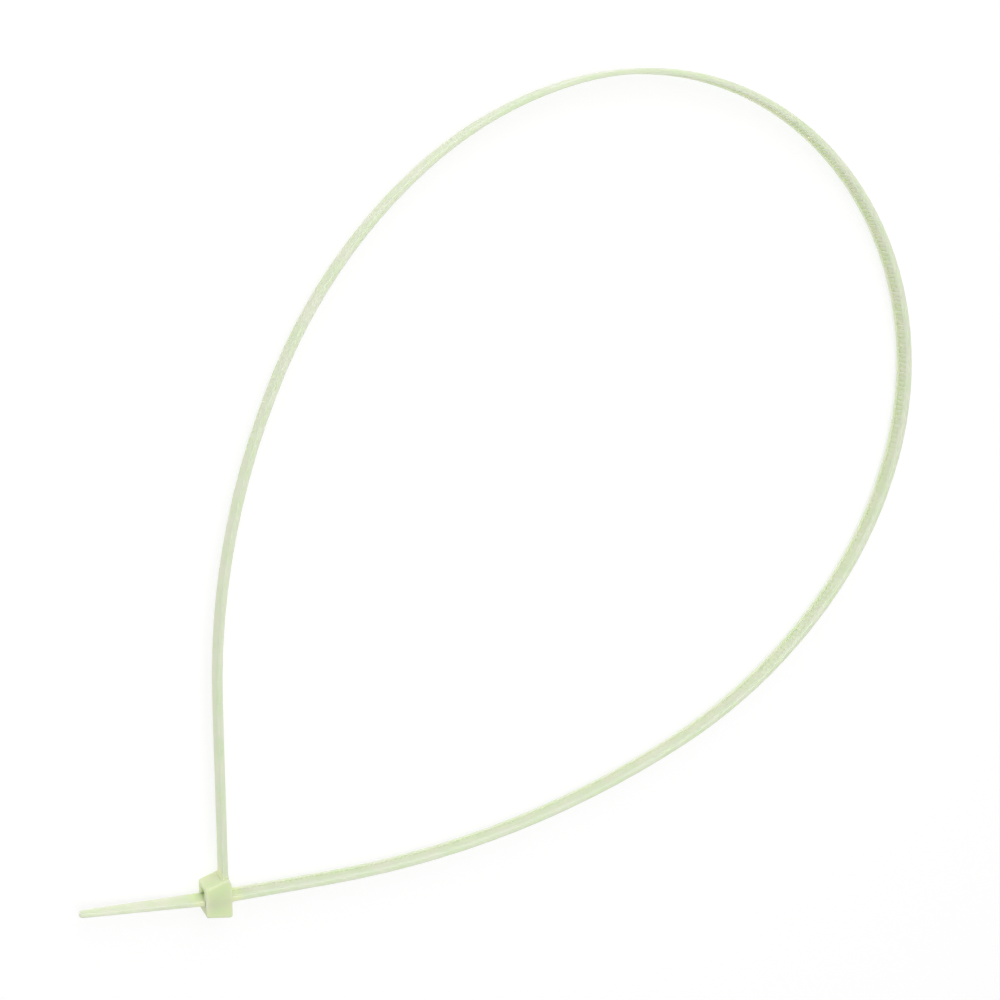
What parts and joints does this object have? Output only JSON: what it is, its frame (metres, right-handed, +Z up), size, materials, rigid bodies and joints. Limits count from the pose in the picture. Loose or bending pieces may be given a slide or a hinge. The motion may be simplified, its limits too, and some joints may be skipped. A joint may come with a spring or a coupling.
{
  "type": "nylon duct tie",
  "caption": "Nylon duct tie closed into a loose drop-shaped loop, with a ratchet head, toothed strap and tapered tail.",
  "frame": {"origin": "on the head's lower side face, beside the middle of the strap's slot", "axes": "+Z up out of the plane of the loop, +Y the way the strap leaves the head, -X the way the tail leaves the slot"},
  "size_m": [0.3117, 0.2743, 0.0102],
  "materials": {
    "natural_nylon": "satin, translucent, uncoloured nylon 6/6 with a pale green-ivory cast"
  },
  "bodies": {
    "root": {"duct_tie": "natural_nylon"}
  },
  "joints": []
}
